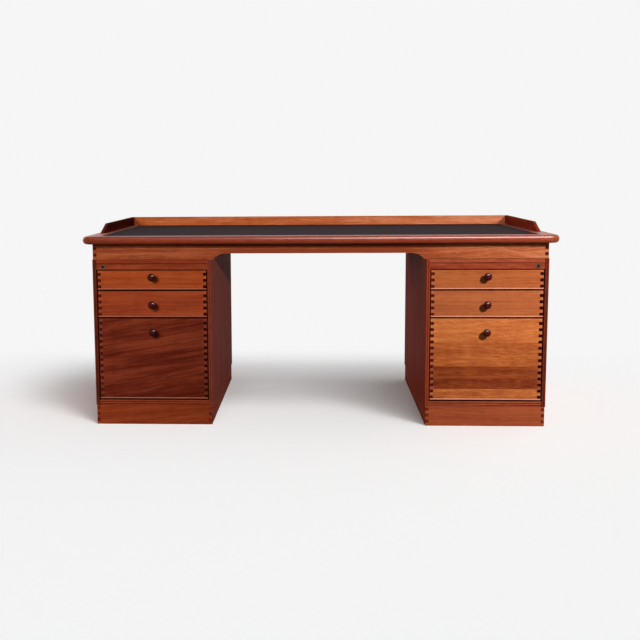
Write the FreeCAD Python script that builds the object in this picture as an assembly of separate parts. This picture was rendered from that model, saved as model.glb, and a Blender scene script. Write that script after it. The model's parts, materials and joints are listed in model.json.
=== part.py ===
import FreeCAD, Part
import math
import os

from FreeCAD import Vector

# A kneehole writing desk in mahogany: two three-drawer pedestals under a leather-lined top
# with a low gallery on three sides. Millimetres, Z up, the front faces -Y, and the origin is on
# the floor under the middle of the top.

# desk as a whole
case_width = 1730.0
case_depth = 870.0
pedestal_width = 457.0
top_overhang = 35.0

# finger joints
finger_height = 11.86

# desk top
top_thickness = 30.0
top_nose_radius = 14.0
top_corner_radius = 44.0
front_rail_width = 57.0
side_rail_width = 67.0
back_rail_width = 67.0
tongue_thickness = 8.0
tongue_depth = 8.0
leather_thickness = 2.0

# gallery round the back and sides of the top
gallery_height = 39.0
gallery_front_fall = 3.0
gallery_thickness = 13.0
gallery_edge_distance = 27.0
gallery_front_distance = 223.5
gallery_end_slope = 103.5

# apron under the top, with its bearers and dowels
apron_height = 59.0
apron_thickness = 14.0
apron_kneehole_height = 37.0
apron_side_inset = 3.0
kneehole_corner_radius = 55.0
kneehole_corner_overlap = 10.0
bearer_width = 30.0
bearer_inset = 9.0
dowel_radius = 5.0
dowel_depth_in_bearer = 25.0
dowel_depth_in_board = 14.0
dowel_clearance = 0.1
dowel_end_distance = 130.0

# pedestal carcase
side_thickness = 15.0
side_arris_radius = 2.5
side_groove_width = 1.6
side_groove_depth = 1.6
board_inset = 2.5
housing_depth = 5.0
carcase_top_thickness = 16.0
carcase_bottom_thickness = 20.0
back_panel_thickness = 12.0
back_panel_inset = 3.0
upper_bead_radius = 1.8
upper_bead_rise = 4.5
lower_bead_radius = 3.2
lower_bead_spacing = 7.6
lower_bead_drop = 3.4
lower_bead_relief = 2.0

# plinth under each pedestal
plinth_height = 75.0
plinth_thickness = 13.0
plinth_side_inset = 3.0

# drawers, each height measured over the lip under the front
bottom_drawer_height = 313.5
middle_drawer_height = 100.0
top_drawer_height = 72.5
drawer_gap = 6.5
drawer_top_gap = 4.0
drawer_side_gap = 4.0
drawer_inset = 3.0
drawer_length = 640.0
drawer_front_thickness = 15.0
drawer_side_thickness = 13.0
drawer_back_thickness = 12.0
drawer_back_housing = 4.0
drawer_back_drop = 6.0
drawer_bottom_thickness = 5.0
drawer_bottom_groove = 5.0
drawer_bottom_rise = 8.0
drawer_chamfer = 2.0
lip_height = 5.0
lip_projection = 2.5

# knobs
knob_radius = 14.8
knob_projection = 27.0
knob_base_radius = 8.0
knob_base_thickness = 2.4
knob_neck_radius = 5.5
knob_neck_distance = 9.0
knob_rim_distance = 17.5
knob_edge_radius = 4.5
knob_spigot_radius = 4.5
knob_spigot_clearance = 0.05
bottom_knob_drop = 52.0
middle_knob_drop = 52.5
top_knob_drop = 24.5

# drawer runners
runner_height = 16.0
runner_rise = 30.0
runner_depth_in_side = 3.0
runner_depth_in_drawer = 6.0
runner_play_above = 0.3
runner_play_below = 0.7
runner_play_beside = 0.4
runner_front_distance = 10.0
stop_block_height = 40.0
stop_block_length = 20.0
stop_clearance = 1.0

# lock rail and central lock
lock_rail_height = 22.0
lock_rail_thickness = 20.0
lock_rail_gap = 1.5
lock_side_distance = 25.0
barrel_radius = 8.0
flange_radius = 9.5
flange_thickness = 1.5
plug_radius = 5.5
plug_clearance = 0.05
plug_recess = 0.4
key_slot_width = 1.8
key_slot_height = 7.0
key_slot_depth = 9.0
crank_plate_radius = 8.5
crank_plate_thickness = 2.0
crank_radius = 6.0
crank_pin_radius = 2.0
crank_pin_length = 4.6
lock_gap = 0.3
lock_bar_travel = 6.0
lock_bar_thickness = 2.4
lock_bar_width = 14.0
lock_bar_side_clearance = 1.0
lock_arm_thickness = 3.0
lock_arm_gap = 0.5
lock_arm_above = 6.5
lock_arm_below = 7.5
lock_bar_foot = 12.0
catch_size = 5.0
catch_rise = 15.0
catch_reach = 3.0
catch_lead = 6.0
catch_clearance = 0.9

# heights worked out from the floor up
carcase_bottom = plinth_height
bottom_board_top = carcase_bottom + carcase_bottom_thickness
bottom_drawer_low = bottom_board_top + drawer_gap
middle_drawer_low = bottom_drawer_low + bottom_drawer_height + drawer_gap
top_drawer_low = middle_drawer_low + middle_drawer_height + drawer_gap
lock_rail_low = top_drawer_low + top_drawer_height + drawer_top_gap
top_board_low = lock_rail_low + lock_rail_height + lock_rail_gap
carcase_top = top_board_low + carcase_top_thickness
apron_top = carcase_top + apron_height
surface_height = apron_top + top_thickness

# places worked out from the middle outwards, for the right-hand half
case_half = case_width / 2
apron_half = case_half - apron_side_inset
kneehole_half = case_half - pedestal_width
front_face = -case_depth / 2
back_face = case_depth / 2
top_half_width = case_half + top_overhang
top_front = front_face - top_overhang
top_back = back_face + top_overhang
inner_wall = kneehole_half + side_thickness
outer_wall = case_half - side_thickness
board_front = front_face + board_inset
drawer_face = front_face + drawer_inset
drawer_left = inner_wall + drawer_side_gap
drawer_right = outer_wall - drawer_side_gap
drawer_front_back = drawer_face + drawer_front_thickness
drawer_end = drawer_face + drawer_length
lock_rail_back = board_front + lock_rail_thickness
lock_axis_x = outer_wall - lock_side_distance
lock_axis_z = lock_rail_low + lock_rail_height / 2
crank_plate_front = lock_rail_back + lock_gap
crank_plate_back = crank_plate_front + crank_plate_thickness
lock_arm_front = crank_plate_back + lock_arm_gap
lock_bar_inner_x = outer_wall + runner_depth_in_side + lock_gap
peg_y = lock_arm_front + catch_lead + catch_clearance + catch_size / 2

# name, lowest point, height over the lip, and drop from the drawer's top to its knob
drawers = [
    ("top", top_drawer_low, top_drawer_height, top_knob_drop),
    ("middle", middle_drawer_low, middle_drawer_height, middle_knob_drop),
    ("bottom", bottom_drawer_low, bottom_drawer_height, bottom_knob_drop),
]

nodes = {}


def box(x0, x1, y0, y1, z0, z1):
    """A box between two corners."""
    return Part.makeBox(x1 - x0, y1 - y0, z1 - z0, Vector(x0, y0, z0))


def rod(radius, x, y0, y1, z):
    """A round bar along Y."""
    return Part.makeCylinder(radius, y1 - y0, Vector(x, y0, z), Vector(0, 1, 0))


def bead(radius, x0, x1, y, z):
    """A round bead along X."""
    return Part.makeCylinder(radius, x1 - x0, Vector(x0, y, z), Vector(1, 0, 0))


def prism(points, direction):
    """A flat outline of straight edges, pushed along a direction."""
    corners = [Vector(*p) for p in points]
    return Part.Face(Part.makePolygon(corners + corners[:1])).extrude(Vector(*direction))


def mirrored(shape):
    """The same piece for the other side of the desk."""
    return shape.mirror(Vector(0, 0, 0), Vector(1, 0, 0))


def group(solids):
    """Several separate solids that share one node."""
    return Part.makeCompound(solids)


def place_pair(name, right_shape):
    """Keep a right-hand piece and its mirror image as two nodes."""
    nodes["right_" + name] = right_shape
    nodes["left_" + name] = mirrored(right_shape)


def finger_bands(low, high, side_at_bottom):
    """Heights of the fingers that the side board owns in one corner joint, counted from the foot."""
    start = low if side_at_bottom else low + finger_height
    bands = []
    while start + finger_height <= high:
        bands.append((start, start + finger_height))
        start += 2 * finger_height
    return bands


def finger_blocks(x0, x1, y0, y1, bands):
    """The blocks of one corner that belong to the side board."""
    return [box(x0, x1, y0, y1, z0, z1) for z0, z1 in bands]


# the desk top and its gallery

def top_slab():
    """The whole top with its round nose, before it is divided into rails."""
    slab = box(-top_half_width, top_half_width, top_front, top_back, apron_top, surface_height)
    upright = [e for e in slab.Edges if abs(e.Vertexes[0].Z - e.Vertexes[1].Z) > 1]
    slab = slab.makeFillet(top_corner_radius, upright)
    flat = [e for e in slab.Edges if abs(e.BoundBox.ZMax - e.BoundBox.ZMin) < 0.01]
    return slab.makeFillet(top_nose_radius, flat)


def make_top():
    """Core, leather and the four mitred rails round them."""
    core_half = top_half_width - side_rail_width
    core_front = top_front + front_rail_width
    core_back = top_back - back_rail_width
    core_top = surface_height - leather_thickness
    tongue_low = apron_top + (core_top - apron_top - tongue_thickness) / 2
    core = box(-core_half, core_half, core_front, core_back, apron_top, core_top)
    tongue = box(-core_half - tongue_depth, core_half + tongue_depth,
                 core_front - tongue_depth, core_back + tongue_depth,
                 tongue_low, tongue_low + tongue_thickness)
    nodes["top_core"] = core.fuse(tongue).removeSplitter()
    nodes["leather_inlay"] = box(-core_half, core_half, core_front, core_back,
                                 core_top, surface_height)
    slab = top_slab()
    outer = [(-top_half_width, top_front), (top_half_width, top_front),
             (top_half_width, top_back), (-top_half_width, top_back)]
    inner = [(-core_half, core_front), (core_half, core_front),
             (core_half, core_back), (-core_half, core_back)]
    for k, name in enumerate(["front", "right", "back", "left"]):
        after = (k + 1) % 4
        outline = [outer[k], outer[after], inner[after], inner[k]]
        wedge = prism([(x, y, apron_top) for x, y in outline], (0, 0, top_thickness))
        nodes["top_rail_" + name] = slab.common(wedge).cut(tongue)


def make_gallery():
    """Low boards that stand on the top along its back and sides."""
    outer_x = top_half_width - gallery_edge_distance
    inner_x = outer_x - gallery_thickness
    outer_y = top_back - gallery_edge_distance
    inner_y = outer_y - gallery_thickness
    low = surface_height
    high = surface_height + gallery_height
    front_high = high - gallery_front_fall
    foot = top_front + gallery_front_distance
    bands = finger_bands(low, high, False)
    back = box(-outer_x, outer_x, inner_y, outer_y, low, high)
    right_fingers = finger_blocks(inner_x, outer_x, inner_y, outer_y, bands)
    left_fingers = [mirrored(block) for block in right_fingers]
    back = back.cut(right_fingers + left_fingers)
    outline = [(inner_x, foot, low), (inner_x, outer_y, low),
               (inner_x, outer_y, high), (inner_x, foot + gallery_end_slope, front_high)]
    side = prism(outline, (gallery_thickness, 0, 0)).cut(back)
    nodes["gallery_back"] = back
    nodes["gallery_right"] = side
    nodes["gallery_left"] = mirrored(side)


# the apron frame that carries the top

def kneehole_cut(y0, y1):
    """The space that the long aprons leave over the kneehole, with its rounded corners."""
    depth = apron_height - apron_kneehole_height
    radius = max(kneehole_corner_radius, depth)
    reach = math.sqrt(2 * depth * radius - depth * depth)
    ceiling = carcase_top + depth
    foot_x = kneehole_half - kneehole_corner_overlap
    arc_x = foot_x - reach
    half_turn = math.asin(reach / radius) / 2
    middle = Vector(arc_x + radius * math.sin(half_turn), y0,
                    ceiling - radius + radius * math.cos(half_turn))
    corner = Vector(foot_x, y0, carcase_top)
    shoulder = Vector(arc_x, y0, ceiling)

    def flip(point):
        return Vector(-point.x, point.y, point.z)

    edges = [
        Part.Arc(corner, middle, shoulder).toShape(),
        Part.LineSegment(shoulder, flip(shoulder)).toShape(),
        Part.Arc(flip(shoulder), flip(middle), flip(corner)).toShape(),
        Part.LineSegment(flip(corner), corner).toShape(),
    ]
    return Part.Face(Part.Wire(edges)).extrude(Vector(0, y1 - y0, 0))


def make_aprons():
    """Four boards, finger jointed at the corners of the case."""
    bands = finger_bands(carcase_top, apron_top, False)
    inner_x = apron_half - apron_thickness
    right = box(inner_x, apron_half, front_face, back_face, carcase_top, apron_top)
    for name, y0 in (("front", front_face), ("back", back_face - apron_thickness)):
        y1 = y0 + apron_thickness
        board = box(-apron_half, apron_half, y0, y1, carcase_top, apron_top)
        fingers = finger_blocks(inner_x, apron_half, y0, y1, bands)
        fingers = fingers + [mirrored(block) for block in fingers]
        board = board.cut(fingers + [kneehole_cut(y0, y1)])
        nodes["apron_" + name] = board
        right = right.cut(board)
    nodes["apron_right"] = right
    nodes["apron_left"] = mirrored(right)


def bearer_places():
    """Left edge of each bearer over the right pedestal."""
    return [kneehole_half + bearer_inset, apron_half - apron_thickness - bearer_width]


def pedestal_dowels():
    """Dowels that locate the top on the right pedestal."""
    dowels = []
    length = dowel_depth_in_board + dowel_depth_in_bearer
    for left in bearer_places():
        for y in (front_face + dowel_end_distance, back_face - dowel_end_distance):
            foot = Vector(left + bearer_width / 2, y, carcase_top - dowel_depth_in_board)
            dowels.append(Part.makeCylinder(dowel_radius, length, foot))
    return dowels


def dowel_holes():
    """The looser holes for those dowels in the pedestal's top board."""
    holes = []
    for dowel in pedestal_dowels():
        middle = dowel.BoundBox.Center
        foot = Vector(middle.x, middle.y, carcase_top - dowel_depth_in_board)
        radius = dowel_radius + dowel_clearance
        holes.append(Part.makeCylinder(radius, dowel_depth_in_board, foot))
    return holes


def make_bearers():
    """Cross bearers between the long aprons, and the dowels under them."""
    front = front_face + apron_thickness
    back = back_face - apron_thickness
    dowels = pedestal_dowels()
    bearers = []
    for left in bearer_places():
        bearer = box(left, left + bearer_width, front, back, carcase_top, apron_top)
        bearers.append(bearer.cut(dowels))
    nodes["top_bearers"] = group(bearers + [mirrored(b) for b in bearers])
    nodes["locating_dowels"] = group(dowels + [mirrored(d) for d in dowels])


# the pedestals

def side_blank(left):
    """A carcase side whose front edge is worked into two beads with a groove between them."""
    right = left + side_thickness
    front = front_face
    r = side_arris_radius
    soft = r * (1 - math.sqrt(0.5))
    groove_left = left + (side_thickness - side_groove_width) / 2
    groove_right = groove_left + side_groove_width
    groove_back = front + side_groove_depth

    def at(x, y):
        return Vector(x, y, carcase_bottom)

    edges = [
        Part.LineSegment(at(right, back_face), at(left, back_face)).toShape(),
        Part.LineSegment(at(left, back_face), at(left, front + r)).toShape(),
        Part.Arc(at(left, front + r), at(left + soft, front + soft), at(left + r, front)).toShape(),
        Part.LineSegment(at(left + r, front), at(groove_left, front)).toShape(),
        Part.LineSegment(at(groove_left, front), at(groove_left, groove_back)).toShape(),
        Part.LineSegment(at(groove_left, groove_back), at(groove_right, groove_back)).toShape(),
        Part.LineSegment(at(groove_right, groove_back), at(groove_right, front)).toShape(),
        Part.LineSegment(at(groove_right, front), at(right - r, front)).toShape(),
        Part.Arc(at(right - r, front), at(right - soft, front + soft), at(right, front + r)).toShape(),
        Part.LineSegment(at(right, front + r), at(right, back_face)).toShape(),
    ]
    return Part.Face(Part.Wire(edges)).extrude(Vector(0, 0, carcase_top - carcase_bottom))


def carcase_span():
    """Left and right ends of a board that is housed in both carcase sides."""
    return inner_wall - housing_depth, outer_wall + housing_depth


def back_panel():
    """The finished back of the pedestal."""
    x0, x1 = carcase_span()
    y1 = back_face - back_panel_inset
    return box(x0, x1, y1 - back_panel_thickness, y1, carcase_bottom, carcase_top)


def top_board():
    """The carcase top, with a small bead along its lower front edge."""
    x0, x1 = carcase_span()
    y1 = back_face - back_panel_inset - back_panel_thickness
    board = box(x0, x1, board_front, y1, top_board_low, carcase_top)
    strip = bead(upper_bead_radius, inner_wall, outer_wall, board_front,
                 top_board_low + upper_bead_rise)
    return board.fuse(strip).cut(dowel_holes())


def bottom_board():
    """The carcase bottom, with two beads along its front edge."""
    x0, x1 = carcase_span()
    y1 = back_face - back_panel_inset - back_panel_thickness
    face = board_front + lower_bead_relief
    board = box(x0, x1, face, y1, carcase_bottom, bottom_board_top)
    for k in range(2):
        z = bottom_board_top - lower_bead_drop - k * lower_bead_spacing
        board = board.fuse(bead(lower_bead_radius, inner_wall, outer_wall, face, z))
    return board


def lock_rail():
    """The rail over the drawers, bored for the lock."""
    x0, x1 = carcase_span()
    rail = box(x0, x1, board_front, lock_rail_back, lock_rail_low,
               lock_rail_low + lock_rail_height)
    return rail.cut(rod(barrel_radius, lock_axis_x, board_front, lock_rail_back, lock_axis_z))


def runner(wall, toward, drawer_low):
    """A hardwood runner let into a carcase side, with a block that stops the drawer."""
    z0 = drawer_low + lip_height + runner_rise
    y0 = drawer_front_back + runner_front_distance
    block_front = drawer_end + stop_clearance
    y1 = block_front + stop_block_length
    inside = wall - toward * runner_depth_in_side
    reach = drawer_side_gap + runner_depth_in_drawer - runner_play_beside
    tip = wall + toward * reach
    rail = box(min(inside, tip), max(inside, tip), y0, y1, z0, z0 + runner_height)
    block_low = z0 - (stop_block_height - runner_height) / 2
    block = box(min(wall, tip), max(wall, tip), block_front, y1,
                block_low, block_low + stop_block_height)
    return rail.fuse(block).removeSplitter()


def pedestal_runners():
    """Two runners for each drawer of the right pedestal."""
    runners = []
    for name, low, height, drop in drawers:
        runners.append(runner(inner_wall, 1, low))
        runners.append(runner(outer_wall, -1, low))
    return runners


def lock_channel():
    """The slot in the outer side in which the lock bar slides."""
    y0 = lock_arm_front - lock_bar_side_clearance
    y1 = lock_arm_front + lock_bar_width + lock_bar_side_clearance
    depth = runner_depth_in_side + lock_gap + lock_bar_thickness + lock_gap
    z0 = bottom_board_top + lock_bar_foot - lock_bar_travel - lock_bar_side_clearance
    return box(outer_wall, outer_wall + depth, y0, y1, z0, top_board_low)


def plinth_boards():
    """Four finger-jointed boards that raise the pedestal off the floor."""
    x0 = kneehole_half + plinth_side_inset
    x1 = case_half - plinth_side_inset
    bands = finger_bands(0, plinth_height, False)
    sides = [box(x0, x0 + plinth_thickness, front_face, back_face, 0, plinth_height),
             box(x1 - plinth_thickness, x1, front_face, back_face, 0, plinth_height)]
    ends = []
    for y0 in (front_face, back_face - plinth_thickness):
        y1 = y0 + plinth_thickness
        fingers = (finger_blocks(x0, x0 + plinth_thickness, y0, y1, bands)
                   + finger_blocks(x1 - plinth_thickness, x1, y0, y1, bands))
        ends.append(box(x0, x1, y0, y1, 0, plinth_height).cut(fingers))
    sides = [side.cut(ends) for side in sides]
    return group(ends + sides)


def make_pedestals():
    """Carcase, plinth and runners of both pedestals."""
    boards = [back_panel(), top_board(), bottom_board(), lock_rail()]
    runners = pedestal_runners()
    inner = side_blank(kneehole_half).cut(boards + runners)
    outer = side_blank(outer_wall).cut(boards + runners + [lock_channel()])
    place_pair("inner_side", inner)
    place_pair("outer_side", outer)
    for name, board in zip(["back_panel", "carcase_top", "carcase_bottom", "lock_rail"], boards):
        place_pair(name, board)
    place_pair("plinth_boards", plinth_boards())
    nodes["drawer_runners"] = group(runners + [mirrored(r) for r in runners])


# the drawers

def drawer_bottom(low):
    """The thin panel held in grooves in the front and sides."""
    x0 = drawer_left + drawer_side_thickness - drawer_bottom_groove
    x1 = drawer_right - drawer_side_thickness + drawer_bottom_groove
    z0 = low + lip_height + drawer_bottom_rise
    return box(x0, x1, drawer_front_back - drawer_bottom_groove, drawer_end,
               z0, z0 + drawer_bottom_thickness)


def top_chamfer(z1):
    """The wedge that is planed off along the top of a drawer's face."""
    outline = [(drawer_left, drawer_face, z1 - drawer_chamfer), (drawer_left, drawer_face, z1),
               (drawer_left, drawer_face + drawer_chamfer, z1)]
    return prism(outline, (drawer_right - drawer_left, 0, 0))


def drawer_front(low, height, knob_height, panel):
    """The front board, chamfered along its top, with the rounded lip glued under it."""
    z0 = low + lip_height
    z1 = low + height
    bands = finger_bands(z0, z1, True)
    board = box(drawer_left, drawer_right, drawer_face, drawer_front_back, z0, z1)
    middle = (drawer_left + drawer_right) / 2
    hole = rod(knob_spigot_radius + knob_spigot_clearance, middle,
               drawer_face, drawer_front_back, knob_height)
    fingers = (finger_blocks(drawer_left, drawer_left + drawer_side_thickness,
                             drawer_face, drawer_front_back, bands)
               + finger_blocks(drawer_right - drawer_side_thickness, drawer_right,
                               drawer_face, drawer_front_back, bands))
    board = board.cut(fingers + [top_chamfer(z1), hole, panel])
    nose_y = drawer_face - lip_projection + lip_height / 2
    lip = box(drawer_left, drawer_right, nose_y, drawer_front_back, low, z0)
    nose = bead(lip_height / 2, drawer_left, drawer_right, nose_y, low + lip_height / 2)
    return group([board, lip.fuse(nose).removeSplitter()])


def drawer_box(low, height, front, panel):
    """Two sides grooved for the runners, the back, and the peg that the lock bar catches."""
    z0 = low + lip_height
    z1 = low + height
    groove_low = z0 + runner_rise - runner_play_below
    groove_high = z0 + runner_rise + runner_height + runner_play_above
    groove_front = drawer_front_back + runner_front_distance - runner_play_beside
    back_low = z0 + drawer_bottom_rise + drawer_bottom_thickness
    housing = drawer_side_thickness - drawer_back_housing
    back_front = drawer_end - drawer_back_thickness
    back = box(drawer_left + housing, drawer_right - housing, back_front, drawer_end,
               back_low, z1 - drawer_back_drop)
    sides = []
    for x0 in (drawer_left, drawer_right - drawer_side_thickness):
        x1 = x0 + drawer_side_thickness
        if x0 == drawer_left:
            groove = (x0, x0 + runner_depth_in_drawer)
        else:
            groove = (x1 - runner_depth_in_drawer, x1)
        side = box(x0, x1, drawer_face, drawer_end, z0, z1)
        slot = box(groove[0], groove[1], groove_front, drawer_end, groove_low, groove_high)
        sides.append(side.cut([front, panel, back, slot, top_chamfer(z1)]))
    peg = Part.makeCylinder(catch_size / 2, catch_reach,
                            Vector(drawer_right, peg_y, z0 + catch_rise), Vector(1, 0, 0))
    return group(sides + [back, peg])


def drawer_knob(knob_height):
    """A turned knob with a spigot that is glued through the front."""
    depth = drawer_front_thickness
    rim_x = knob_radius - knob_edge_radius
    crown = knob_projection - knob_rim_distance
    dome_radius = ((rim_x ** 2 + crown ** 2 - knob_edge_radius ** 2)
                   / (2 * (crown - knob_edge_radius)))
    dome_middle = knob_projection - dome_radius
    spread = math.asin(rim_x / (dome_radius - knob_edge_radius))
    soft = knob_edge_radius * math.sqrt(0.5)

    def at(radius, out):
        return Vector(radius, -out, 0)

    def on_dome(angle):
        return at(dome_radius * math.sin(angle), dome_middle + dome_radius * math.cos(angle))

    underside = at(rim_x + soft, knob_rim_distance - soft)
    edges = [
        Part.LineSegment(at(0, -depth), at(knob_spigot_radius, -depth)).toShape(),
        Part.LineSegment(at(knob_spigot_radius, -depth), at(knob_spigot_radius, 0)).toShape(),
        Part.LineSegment(at(knob_spigot_radius, 0), at(knob_base_radius, 0)).toShape(),
        Part.LineSegment(at(knob_base_radius, 0),
                         at(knob_base_radius, knob_base_thickness)).toShape(),
        Part.Arc(at(knob_base_radius, knob_base_thickness),
                 at(knob_neck_radius, knob_neck_distance), underside).toShape(),
        Part.Arc(underside, at(knob_radius, knob_rim_distance), on_dome(spread)).toShape(),
        Part.Arc(on_dome(spread), on_dome(spread / 2), on_dome(0)).toShape(),
        Part.LineSegment(on_dome(0), at(0, -depth)).toShape(),
    ]
    knob = Part.Face(Part.Wire(edges)).revolve(Vector(0, 0, 0), Vector(0, 1, 0), 360)
    knob.translate(Vector((drawer_left + drawer_right) / 2, drawer_face, knob_height))
    return knob


def make_drawers():
    """Three drawers for each pedestal, each a front, a box, a bottom and a knob."""
    for name, low, height, drop in drawers:
        knob_height = low + height - drop
        panel = drawer_bottom(low)
        front = drawer_front(low, height, knob_height, panel)
        place_pair(name + "_drawer_front", front)
        place_pair(name + "_drawer_box", drawer_box(low, height, front, panel))
        place_pair(name + "_drawer_bottom", panel)
        place_pair(name + "_drawer_knob", drawer_knob(knob_height))


# the central lock

def lock_barrel():
    """The flanged barrel fixed in the lock rail."""
    body = rod(barrel_radius, lock_axis_x, board_front, lock_rail_back, lock_axis_z)
    flange = rod(flange_radius, lock_axis_x, board_front - flange_thickness, board_front,
                 lock_axis_z)
    bore = rod(plug_radius + plug_clearance, lock_axis_x, board_front - flange_thickness,
               lock_rail_back, lock_axis_z)
    return body.fuse(flange).removeSplitter().cut(bore)


def lock_plug():
    """The keyed plug, with a crank pin on the plate at its back."""
    face = board_front - flange_thickness + plug_recess
    plug = rod(plug_radius, lock_axis_x, face, crank_plate_front, lock_axis_z)
    slot = box(lock_axis_x - key_slot_width / 2, lock_axis_x + key_slot_width / 2,
               face, face + key_slot_depth,
               lock_axis_z - key_slot_height / 2, lock_axis_z + key_slot_height / 2)
    plate = rod(crank_plate_radius, lock_axis_x, crank_plate_front, crank_plate_back, lock_axis_z)
    pin = rod(crank_pin_radius, lock_axis_x + crank_radius, crank_plate_back,
              crank_plate_back + crank_pin_length, lock_axis_z)
    return plug.cut(slot).fuse([plate, pin]).removeSplitter()


def lock_bar():
    """The bent bar that the crank lowers, with a catch in front of each drawer's peg."""
    x0 = lock_bar_inner_x
    x1 = x0 + lock_bar_thickness
    y0 = lock_arm_front
    arm_top = lock_axis_z + lock_arm_above
    bar = box(x0, x1, y0, y0 + lock_bar_width, bottom_board_top + lock_bar_foot, arm_top)
    arm_end = lock_axis_x - crank_plate_radius
    arm = box(arm_end, x1, y0, y0 + lock_arm_thickness, lock_axis_z - lock_arm_below, arm_top)
    turn = math.acos(min(1, lock_bar_travel / (crank_radius * math.pi / 2)))
    lag = crank_radius * math.sin(turn) - lock_bar_travel * turn / (math.pi / 2)
    slot_low = lock_axis_z - crank_pin_radius - lag - lock_gap
    slot_high = lock_axis_z + crank_pin_radius + lock_gap
    slot = box(lock_axis_x - crank_pin_radius - lock_gap,
               lock_axis_x + crank_radius + crank_pin_radius + lock_gap,
               y0, y0 + lock_arm_thickness, slot_low, slot_high)
    catches = []
    for name, low, height, drop in drawers:
        peg_top = low + lip_height + catch_rise + catch_size / 2
        catch_low = peg_top - catch_size + lock_bar_travel
        catches.append(box(outer_wall - catch_reach, x0, y0, y0 + catch_lead,
                           catch_low, catch_low + catch_size))
    return bar.fuse([arm] + catches).removeSplitter().cut(slot)


def make_locks():
    """Both central locks."""
    place_pair("lock_barrel", lock_barrel())
    place_pair("lock_plug", lock_plug())
    place_pair("lock_bar", lock_bar())


make_top()
make_gallery()
make_aprons()
make_bearers()
make_pedestals()
make_drawers()
make_locks()

os.makedirs("parts", exist_ok=True)
for node_name, node_shape in nodes.items():
    node_shape.exportStep("parts/" + node_name + ".step")
print(len(nodes), "nodes written")
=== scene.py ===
import bmesh
import bpy
import json
import math
from mathutils import Matrix, Vector, noise
from mathutils.bvhtree import BVHTree
from mathutils.geometry import interpolate_bezier


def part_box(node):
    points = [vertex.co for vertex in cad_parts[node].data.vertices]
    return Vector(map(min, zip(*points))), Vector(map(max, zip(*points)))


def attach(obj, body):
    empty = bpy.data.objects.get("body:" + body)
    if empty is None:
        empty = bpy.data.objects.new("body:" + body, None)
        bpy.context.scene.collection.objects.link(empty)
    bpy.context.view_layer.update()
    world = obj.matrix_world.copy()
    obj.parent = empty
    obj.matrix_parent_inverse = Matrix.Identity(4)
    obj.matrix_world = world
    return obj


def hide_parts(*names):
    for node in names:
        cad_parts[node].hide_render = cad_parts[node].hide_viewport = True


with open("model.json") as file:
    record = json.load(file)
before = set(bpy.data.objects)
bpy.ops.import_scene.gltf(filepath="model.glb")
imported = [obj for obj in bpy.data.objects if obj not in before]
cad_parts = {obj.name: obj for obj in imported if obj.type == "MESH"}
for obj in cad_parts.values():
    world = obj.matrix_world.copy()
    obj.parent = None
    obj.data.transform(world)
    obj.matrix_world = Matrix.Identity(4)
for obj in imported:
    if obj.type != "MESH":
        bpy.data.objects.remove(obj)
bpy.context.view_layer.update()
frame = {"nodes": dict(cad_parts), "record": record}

scene = bpy.context.scene
nodeBody = {node: body for body, nodes in frame["record"]["behaviour"]["bodies"].items() for node in nodes}


# small helpers for node trees

def paint(red, green, blue):
    # a colour as seen on screen, 0 to 255, turned into the linear values that shaders use
    levels = [value / 255 for value in (red, green, blue)]
    linear = [v / 12.92 if v <= 0.04045 else ((v + 0.055) / 1.055) ** 2.4 for v in levels]
    return (*linear, 1.0)


def feed(tree, socket, value):
    if isinstance(value, bpy.types.NodeSocket):
        tree.links.new(value, socket)
    else:
        socket.default_value = value


def add(tree, kind, inputs=None, **settings):
    made = tree.nodes.new("ShaderNode" + kind)
    for key, value in settings.items():
        setattr(made, key, value)
    for key, value in (inputs or {}).items():
        feed(tree, made.inputs[key], value)
    return made


def calc(tree, operation, first, second=0.0, third=0.0):
    made = add(tree, "Math", operation=operation)
    for socket, value in zip(made.inputs, (first, second, third)):
        feed(tree, socket, value)
    return made.outputs[0]


def blendColour(tree, factor, first, second, kind="MIX"):
    made = add(tree, "Mix", data_type="RGBA", blend_type=kind)
    for place, value in ((0, factor), (6, first), (7, second)):
        feed(tree, made.inputs[place], value)
    return made.outputs[2]


def rampColour(tree, value, stops, steps=False):
    made = add(tree, "ValToRGB", {"Fac": value})
    band = made.color_ramp
    band.interpolation = "CONSTANT" if steps else "LINEAR"
    while len(band.elements) < len(stops):
        band.elements.new(0.5)
    for element, (place, colour) in zip(band.elements, stops):
        element.position = place
        element.color = colour
    return made.outputs[0]


def stretchedNoise(tree, vector, scales, detail, roughness=0.55):
    placed = add(tree, "Mapping", {"Vector": vector, "Scale": scales})
    made = add(tree, "TexNoise", {"Vector": placed.outputs[0], "Scale": 1.0, "Detail": detail,
                                  "Roughness": roughness})
    return made.outputs["Fac"]


def span(tree, value, low, high, outLow=0.0, outHigh=1.0):
    inputs = {"Value": value, "From Min": low, "From Max": high, "To Min": outLow, "To Max": outHigh}
    return add(tree, "MapRange", inputs).outputs["Result"]


def newMaterial(name, **constants):
    made = bpy.data.materials.new(name)
    made.use_nodes = True
    shader = made.node_tree.nodes["Principled BSDF"]
    for key, value in constants.items():
        shader.inputs[key.replace("_", " ")].default_value = value
    return made, made.node_tree, shader


# timber, sawn and planed along one of the desk's axes

grainTurns = {"x": (0, 0, 0), "y": (0, 0, -math.pi / 2), "z": (0, math.pi / 2, 0)}
grainAxes = {"x": (1, 0, 0), "y": (0, 1, 0), "z": (0, 0, 1)}

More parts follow.
